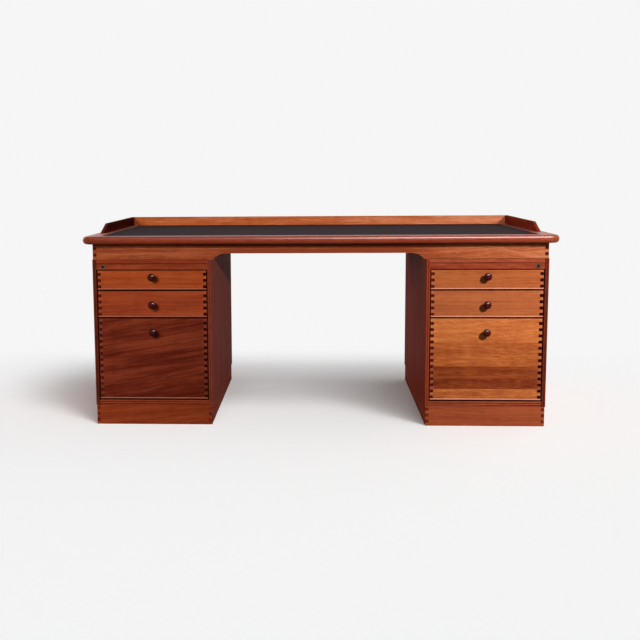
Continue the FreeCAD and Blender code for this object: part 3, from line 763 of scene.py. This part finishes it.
def leather(look):
    made, tree, shader = newMaterial("black leather", Specular_IOR_Level=look["sheen"])
    place = add(tree, "TexCoord").outputs["Object"]
    clouds = stretchedNoise(tree, place, *look["clouds"])
    colour = rampColour(tree, clouds, [(0.35, paint(*look["dark"])), (0.68, paint(*look["pale"]))])
    scuffed = span(tree, stretchedNoise(tree, place, *look["scuffs"]), *look["scuffShare"])
    colour = blendColour(tree, scuffed, colour, paint(*look["scuffed"]))
    feed(tree, shader.inputs["Base Color"], withDustAndShade(tree, colour, look["grime"]))
    feed(tree, shader.inputs["Roughness"], span(tree, clouds, 0.3, 0.7, *look["roughness"]))
    wobble = add(tree, "TexNoise", {"Vector": place, "Scale": look["wobbleScale"], "Detail": 2.0})
    bent = add(tree, "VectorMath", {0: wobble.outputs["Color"], 1: (look["wobbleReach"],) * 3, 2: place},
               operation="MULTIPLY_ADD")
    pebbles = add(tree, "TexVoronoi", {"Vector": bent.outputs[0], "Scale": 1 / look["pebble"]},
                  feature="SMOOTH_F1").outputs["Distance"]
    creases = stretchedNoise(tree, place, *look["creases"])
    height = calc(tree, "MULTIPLY_ADD", pebbles, look["pebbleDepth"], creases)
    bump = add(tree, "Bump", {"Height": height, "Strength": look["bumpStrength"],
                              "Distance": look["bumpDepth"]})
    feed(tree, shader.inputs["Normal"], bump.outputs[0])
    return made


def gridLines(low, high, look):
    edge = look["edgeSteps"]
    first = low + edge[-1]
    last = high - edge[-1]
    count = round((last - first) / look["cell"])
    inner = [first + (last - first) * k / count for k in range(1, count)]
    return [low + step for step in edge] + inner + [high - step for step in reversed(edge)]


def leatherMesh(look):
    low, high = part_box("leather_inlay")
    mesh = bmesh.new()
    xs = gridLines(low.x, high.x, look)
    ys = gridLines(low.y, high.y, look)
    rows = []
    for y in ys:
        row = []
        for x in xs:
            toEdge = min(x - low.x, high.x - x, y - low.y, high.y - y)
            inward = max(0.0, look["edgeRadius"] - toEdge)
            drop = look["edgeRadius"] - math.sqrt(look["edgeRadius"] ** 2 - inward ** 2)
            swell = noise.noise(Vector((x, y, 0.0)) * look["waves"]) - 1.0
            row.append(mesh.verts.new((x, y, high.z - drop + look["rise"] * swell)))
        rows.append(row)
    for one, other in zip(rows, rows[1:]):
        for k in range(len(xs) - 1):
            mesh.faces.new([one[k], one[k + 1], other[k + 1], other[k]])
    rim = [edge for edge in mesh.edges if edge.is_boundary]
    skirt = bmesh.ops.extrude_edge_only(mesh, edges=rim)["geom"]
    for vert in skirt:
        if isinstance(vert, bmesh.types.BMVert):
            vert.co.z = low.z
    base = [item for item in skirt if isinstance(item, bmesh.types.BMEdge) and item.is_boundary]
    bmesh.ops.contextual_create(mesh, geom=base)
    bmesh.ops.recalc_face_normals(mesh, faces=mesh.faces)
    return mesh


leatherTop = placePiece("leatherTop", leatherMesh(leatherLook), [leather(leatherLook)], ["leather_inlay"])
print("leather laid")


# the locks

metalLooks = {
    "nickelled brass": {"bright": (134, 102, 80), "dull": (86, 58, 44), "roughness": (0.4, 0.6)},
    "tarnished brass": {"bright": (76, 52, 40), "dull": (44, 28, 22), "roughness": (0.45, 0.65)},
    "steel": {"bright": (150, 150, 150), "dull": (92, 88, 84), "roughness": (0.3, 0.55)},
}
metalGrain = {
    "clouds": ((90.0, 90.0, 90.0), 4.0, 0.65),
    "scratches": ((160.0, 160.0, 3200.0), 3.0),
    # painted shade with dust: the colour that the metal's tight corners darken to
    "grime": (36, 20, 12),
    "bumpStrength": 0.2,
    "bumpDepth": 0.0001,
}
barrelLook = {"bodyRadius": 0.008, "boreRadius": 0.00555, "flangeThickness": 0.0015, "round": 0.0004,
              "roundSteps": 4, "facets": 72}
metalArris = 0.0003


def metal(name, look):
    made, tree, shader = newMaterial(name, Metallic=1.0)
    place = add(tree, "TexCoord").outputs["Object"]
    clouds = stretchedNoise(tree, place, *metalGrain["clouds"])
    colour = rampColour(tree, clouds, [(0.35, paint(*look["dull"])), (0.62, paint(*look["bright"]))])
    feed(tree, shader.inputs["Base Color"], withDustAndShade(tree, colour, metalGrain["grime"]))
    scratches = stretchedNoise(tree, place, *metalGrain["scratches"])
    feed(tree, shader.inputs["Roughness"], span(tree, scratches, 0.3, 0.7, *look["roughness"]))
    bump = add(tree, "Bump", {"Height": scratches, "Strength": metalGrain["bumpStrength"],
                              "Distance": metalGrain["bumpDepth"]})
    feed(tree, shader.inputs["Normal"], bump.outputs[0])
    return made


def barrelProfile(radius, depth, look):
    # the flange's face is at 0, and the barrel goes back into the rail from there
    soft = look["round"]
    outer = arcOf((radius - soft, -soft), soft, math.pi / 2, 0, look["roundSteps"])
    inner = arcOf((look["boreRadius"] + soft, -soft), soft, math.pi, math.pi / 2, look["roundSteps"])
    behind = [(radius, -look["flangeThickness"]), (look["bodyRadius"], -look["flangeThickness"]),
              (look["bodyRadius"], -depth), (look["boreRadius"], -depth)]
    return inner + outer + behind


brass = metal("nickelled brass", metalLooks["nickelled brass"])
darkBrass = metal("tarnished brass", metalLooks["tarnished brass"])
steel = metal("steel", metalLooks["steel"])


def makeLock(side):
    barrel = side + "_lock_barrel"
    low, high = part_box(barrel)
    place = Vector(((low.x + high.x) / 2, low.y, (low.z + high.z) / 2))
    profile = barrelProfile((high.x - low.x) / 2, high.y - low.y, barrelLook)
    placePiece(camelName(barrel), turned(profile, place, barrelLook["facets"], ring=True), [brass], [barrel])
    board(side + "_lock_plug", darkBrass, ending="", arris=metalArris)
    board(side + "_lock_bar", steel, ending="", arris=metalArris)


for side in ("left", "right"):
    makeLock(side)
print("locks fitted")


# what only shows from inside or below: core, bearers, dowels, runners and drawer bottoms

# painted shade with dust: the blockboard, beech and plywood below darken their tight corners towards their
# corner colours
blockboardLook = {"strip": 0.024, "glueLine": 0.03, "dark": (168, 128, 82), "pale": (208, 172, 122),
                  "glue": (120, 84, 50), "grime": (70, 44, 24), "roughness": (0.45, 0.65), "sheen": 0.3,
                  "grain": ((6.0, 320.0, 320.0), 5.0), "grainShare": 0.9, "bumpStrength": 0.2,
                  "bumpDepth": 0.0002}
beechLook = {"along": "y", "seed": 51.3, "dark": (150, 106, 68), "middle": (188, 146, 100),
             "light": (208, 172, 128), "endGrain": (120, 86, 54), "grime": (70, 44, 24), "flecks": 0.5,
             "rings": 0.15, "streaks": 0.2, "roughness": 0.5}
plywoodLook = {"along": "x", "seed": 57.9, "dark": (178, 132, 90), "middle": (206, 160, 116),
               "light": (222, 184, 142), "endGrain": (146, 104, 70), "grime": (80, 52, 30), "rings": 0.5,
               "ringsPerMetre": 60.0, "streaks": 0.2, "roughness": 0.5}


def blockboard(look):
    made, tree, shader = newMaterial("blockboard", Specular_IOR_Level=look["sheen"])
    place = add(tree, "TexCoord").outputs["Object"]
    across = add(tree, "SeparateXYZ", {"Vector": place}).outputs["Y"]
    counted = calc(tree, "DIVIDE", across, look["strip"])
    strip = calc(tree, "FLOOR", counted)
    tone = add(tree, "TexWhiteNoise", {"W": strip}, noise_dimensions="1D").outputs["Value"]
    grain = stretchedNoise(tree, place, *look["grain"])
    level = calc(tree, "MULTIPLY_ADD", calc(tree, "SUBTRACT", grain, 0.5), look["grainShare"], tone)
    colour = rampColour(tree, level, [(0.0, paint(*look["dark"])), (1.0, paint(*look["pale"]))])
    isGlue = calc(tree, "LESS_THAN", calc(tree, "FRACT", counted), look["glueLine"])
    colour = blendColour(tree, isGlue, colour, paint(*look["glue"]))
    feed(tree, shader.inputs["Base Color"], withDustAndShade(tree, colour, look["grime"]))
    feed(tree, shader.inputs["Roughness"], span(tree, grain, 0.3, 0.7, *look["roughness"]))
    bump = add(tree, "Bump", {"Height": grain, "Strength": look["bumpStrength"],
                              "Distance": look["bumpDepth"]})
    feed(tree, shader.inputs["Normal"], bump.outputs[0])
    return made


board("top_core", blockboard(blockboardLook))
beech = timber("beech", **beechLook)
for node in ("top_bearers", "drawer_runners"):
    board(node, beech, ending="")
board("locating_dowels", timber("beech dowels", **{**beechLook, "along": "z"}), ending="")
plywood = timber("birch plywood", **plywoodLook)
for side in ("left", "right"):
    for level in ("top", "middle", "bottom"):
        board(side + "_" + level + "_drawer_bottom", plywood, ending="Panel")
print("inside pieces dressed")


# floor, lights and camera

stageLook = {
    "pale": (0.92, 0.92, 0.92, 1),
    "floorColour": (0.964, 0.97, 0.97, 1),
    "floorHalf": 30.0,
    "fadeFrom": 2.2,
    "fadeTo": 4.0,
    "fadeBehind": (0.38, 1.23),
    "floorGlow": 0.05,
    "roomLight": 0.1,
    "floorBounce": 0.22,
}


def seenShare(tree):
    # the pale room shows to the camera, and in polish, metal and glass
    path = add(tree, "LightPath")
    straight = calc(tree, "MAXIMUM", path.outputs["Is Camera Ray"], path.outputs["Is Transmission Ray"])
    return calc(tree, "MAXIMUM", straight, path.outputs["Is Glossy Ray"])


def floorMaterial(look):
    made, tree, shader = newMaterial("pale floor", Roughness=1.0, Specular_IOR_Level=0.0)
    seen = seenShare(tree)
    bounce = (look["floorBounce"],) * 3 + (1,)
    feed(tree, shader.inputs["Base Color"], blendColour(tree, seen, bounce, look["floorColour"]))
    shader.inputs["Emission Color"].default_value = (1, 1, 1, 1)
    feed(tree, shader.inputs["Emission Strength"], calc(tree, "MULTIPLY", seen, look["floorGlow"]))
    place = add(tree, "TexCoord")
    reach = add(tree, "VectorMath", {0: place.outputs["Object"]}, operation="LENGTH").outputs["Value"]
    behind = add(tree, "SeparateXYZ", {"Vector": place.outputs["Object"]}).outputs["Y"]
    far = calc(tree, "MAXIMUM", span(tree, reach, look["fadeFrom"], look["fadeTo"]),
               span(tree, behind, *look["fadeBehind"]))
    glow = add(tree, "Emission", {"Color": look["pale"], "Strength": 1.0})
    mixed = add(tree, "MixShader", {0: calc(tree, "MULTIPLY", far, seen)})
    tree.links.new(shader.outputs[0], mixed.inputs[1])
    tree.links.new(glow.outputs[0], mixed.inputs[2])
    tree.links.new(mixed.outputs[0], tree.nodes["Material Output"].inputs["Surface"])
    return made


floorMesh = bmesh.new()
bmesh.ops.create_grid(floorMesh, x_segments=2, y_segments=2, size=stageLook["floorHalf"])
floorData = bpy.data.meshes.new("floor")
floorMesh.to_mesh(floorData)
floorMesh.free()
floorData.materials.append(floorMaterial(stageLook))
floor = bpy.data.objects.new("floor", floorData)
scene.collection.objects.link(floor)

floorOnly = bpy.data.collections.new("floor only")
floorOnly.objects.link(floor)
pieces = [piece for piece in scene.objects if piece.type == "MESH" and piece is not floor]


def isOf(side, piece):
    return piece.name.startswith(side) or piece.name.startswith("gallery" + side.capitalize())


litFromLeft = ("apronFront", "galleryBack", "galleryRight", "topRailFront", "topRailLeft")
shinyTop = ("leatherTop", "topRailFront", "topRailLeft", "topRailRight", "galleryLeft", "galleryRight")
outer = ("leftOuterSide", "rightOuterSide", "apronLeft", "apronRight", "topRailLeft", "topRailRight",
         "leftPlinthBoardsSides", "rightPlinthBoardsSides")


def lampSet(name, isLit):
    made = bpy.data.collections.new(name)
    for piece in filter(isLit, pieces):
        made.objects.link(piece)
    return made


leatherOnly = lampSet("leather", lambda piece: piece is leatherTop)
rightHalf = lampSet("all but the left pedestal and leather",
                    lambda piece: not isOf("left", piece) and piece is not leatherTop)
leftHalf = lampSet("left pedestal and gallery",
                   lambda piece: isOf("left", piece) or piece.name.startswith(litFromLeft))
backOnly = lampSet("desk without its shiny top", lambda piece: not piece.name.startswith(shinyTop))
outerOnly = lampSet("outer sides", lambda piece: piece.name.startswith(outer))
kneeholeOnly = lampSet("kneehole faces", lambda piece: piece in kneeholePieces)
polishedOnly = lampSet("polished rails and knobs",
                       lambda piece: piece.name.endswith("Knob") or piece.name.startswith("topRail"))

lamps = {
    "right lamp": {"place": (1.69, -1.94, 1.61), "aim": (0.64, -0.435, 0.45), "size": (0.25, 0.25),
                   "power": 62.0, "lights": rightHalf, "dullOnly": True},
    "left lamp": {"place": (-2.11, -2.74, 1.88), "aim": (-0.64, -0.435, 0.45), "size": (1.1, 1.1),
                  "power": 84.0, "lights": leftHalf, "dullOnly": True},
    "right kneehole lamp": {"place": (2.0, -3.6, 1.45), "aim": (-0.4, 0.0, 0.35), "size": (0.12, 0.12),
                            "power": 165.0, "lights": kneeholeOnly, "dullOnly": True},
    "left kneehole lamp": {"place": (-2.0, -3.6, 1.45), "aim": (0.4, 0.0, 0.35), "size": (1.2, 1.2),
                           "power": 110.0, "lights": kneeholeOnly, "dullOnly": True},
    "kneehole fill": {"place": (1.2, -2.5, 0.4), "aim": (-0.4, 0.0, 0.45), "size": (1.0, 1.0),
                      "power": 24.0, "lights": kneeholeOnly, "dullOnly": True},
    "back lamp": {"place": (-1.2, 3.2, 1.9), "aim": (0.0, 0.435, 0.4), "size": (1.4, 1.4),
                  "power": 90.0, "lights": backOnly, "dullOnly": True},
    "left side lamp": {"place": (-3.4, 0.5, 1.5), "aim": (-0.85, 0.0, 0.4), "size": (1.4, 1.4),
                       "power": 62.0, "lights": outerOnly, "dullOnly": True},
    "right side lamp": {"place": (3.4, 0.5, 1.5), "aim": (0.85, 0.0, 0.4), "size": (1.4, 1.4),
                        "power": 62.0, "lights": outerOnly, "dullOnly": True},
    "leather lamp": {"place": (0.3, -1.2, 2.6), "aim": (0.0, 0.0, 0.73), "size": (1.0, 1.0),
                     "power": 58.0, "lights": leatherOnly, "dullOnly": True},
    "strip lamp": {"place": (1.2, -2.0, 2.7), "aim": (0.3, -0.47, 0.72), "size": (2.6, 0.4),
                   "power": 1000.0, "lights": polishedOnly, "glossOnly": True},
    "left strip lamp": {"place": (-0.6, -2.0, 2.7), "aim": (-0.2, -0.47, 0.72), "size": (2.0, 0.4),
                        "power": 30.0, "lights": polishedOnly, "glossOnly": True},
}


def areaLamp(name, settings):
    data = bpy.data.lights.new(name, "AREA")
    data.shape = "RECTANGLE"
    data.size, data.size_y = settings["size"]
    data.energy = settings["power"]
    lamp = bpy.data.objects.new(name, data)
    scene.collection.objects.link(lamp)
    lamp.location = settings["place"]
    way = Vector(settings["place"]) - Vector(settings["aim"])
    lamp.rotation_euler = way.to_track_quat("Z", "Y").to_euler()
    lamp.light_linking.receiver_collection = settings["lights"]
    lamp.visible_diffuse = not settings.get("glossOnly", False)
    lamp.visible_glossy = not settings.get("dullOnly", False)
    return lamp


for name, settings in lamps.items():
    areaLamp(name, settings)

floorSuns = {
    "floor key": {"turn": 40, "rise": 50, "softness": 20, "strength": 1.08},
    "floor front": {"turn": 15, "rise": 12, "softness": 60, "strength": 4.6},
    "floor side": {"turn": 90, "rise": 30, "softness": 110, "strength": 0.93},
}


def floorSun(name, settings):
    # the turn goes from the front towards the right, and the rise up from the floor
    data = bpy.data.lights.new(name, "SUN")
    data.energy = settings["strength"]
    data.angle = math.radians(settings["softness"])
    sun = bpy.data.objects.new(name, data)
    scene.collection.objects.link(sun)
    turn = math.radians(settings["turn"])
    rise = math.radians(settings["rise"])
    way = Vector((math.sin(turn) * math.cos(rise), -math.cos(turn) * math.cos(rise), math.sin(rise)))
    sun.rotation_euler = way.to_track_quat("Z", "Y").to_euler()
    sun.light_linking.receiver_collection = floorOnly
    return sun


for name, settings in floorSuns.items():
    floorSun(name, settings)

world = bpy.data.worlds.new("pale room")
scene.world = world
world.use_nodes = True
room = world.node_tree
dim = (stageLook["roomLight"],) * 3 + (1,)
roomColour = blendColour(room, seenShare(room), dim, stageLook["pale"])
feed(room, room.nodes["Background"].inputs["Color"], roomColour)

cameraPlace = {
    "location": (-0.0052, -4.1386, 0.9496),
    "lens": 55.07,
    "sensor": 36.0,
    "pitchDown": math.radians(7.304),
    "turnLeft": math.radians(3.004),
    "roll": math.radians(-0.407),
    "shiftRight": 0.0847,
    "shiftUp": -0.0258,
}
cameraData = bpy.data.cameras.new("camera")
cameraData.lens = cameraPlace["lens"]
cameraData.sensor_width = cameraPlace["sensor"]
cameraData.shift_x = cameraPlace["shiftRight"]
cameraData.shift_y = cameraPlace["shiftUp"]
camera = bpy.data.objects.new("camera", cameraData)
scene.collection.objects.link(camera)
camera.location = cameraPlace["location"]
turn = (Matrix.Rotation(cameraPlace["turnLeft"], 4, "Z")
        @ Matrix.Rotation(math.pi / 2 - cameraPlace["pitchDown"], 4, "X")
        @ Matrix.Rotation(cameraPlace["roll"], 4, "Z"))
camera.rotation_euler = turn.to_euler()
scene.camera = camera
scene.view_settings.view_transform = "Standard"

bpy.context.view_layer.update()
